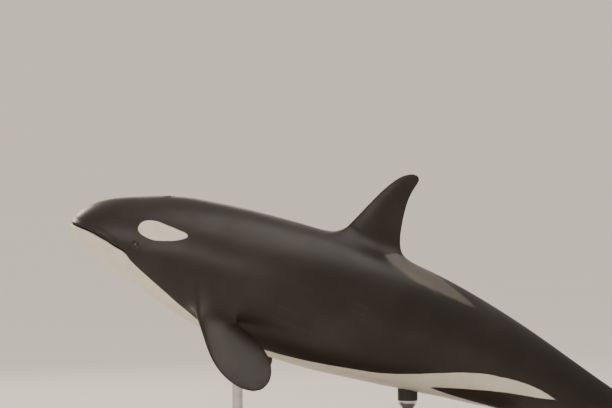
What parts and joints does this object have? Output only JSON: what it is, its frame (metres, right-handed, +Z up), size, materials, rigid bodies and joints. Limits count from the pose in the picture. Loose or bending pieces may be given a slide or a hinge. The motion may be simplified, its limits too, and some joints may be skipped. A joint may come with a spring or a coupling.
{
  "type": "orca display model",
  "caption": "Still life-size model of an orca lifted to breathe, held over a flat base by short upright rods.",
  "frame": {"origin": "middle of the underside of the stand's base, on the floor", "axes": "+X from the head towards the tail flukes, +Y towards the animal's right side, +Z up"},
  "size_m": [5.6401, 1.851, 2.5051],
  "materials": {
    "skin_black": "smooth, wet black skin with a soft gloss",
    "skin_white": "smooth, warm white skin with a soft gloss",
    "eye_dark": "dark brown eye, polished",
    "stand_steel": "satin steel rods",
    "stand_paint": "matt dark paint"
  },
  "bodies": {
    "root": {"head": "skin_black", "lower_jaw": "skin_white", "eye_left": "eye_dark", "eye_right": "eye_dark", "torso": "skin_black", "abdomen": "skin_black", "tail_stock": "skin_black", "dorsal_fin": "skin_black", "pectoral_fin_left": "skin_black", "pectoral_fin_right": "skin_black", "fluke_left": "skin_black", "fluke_right": "skin_black", "stand_base": "stand_paint", "stand_rod_front": "stand_steel", "stand_rod_rear": "stand_steel"}
  },
  "joints": []
}
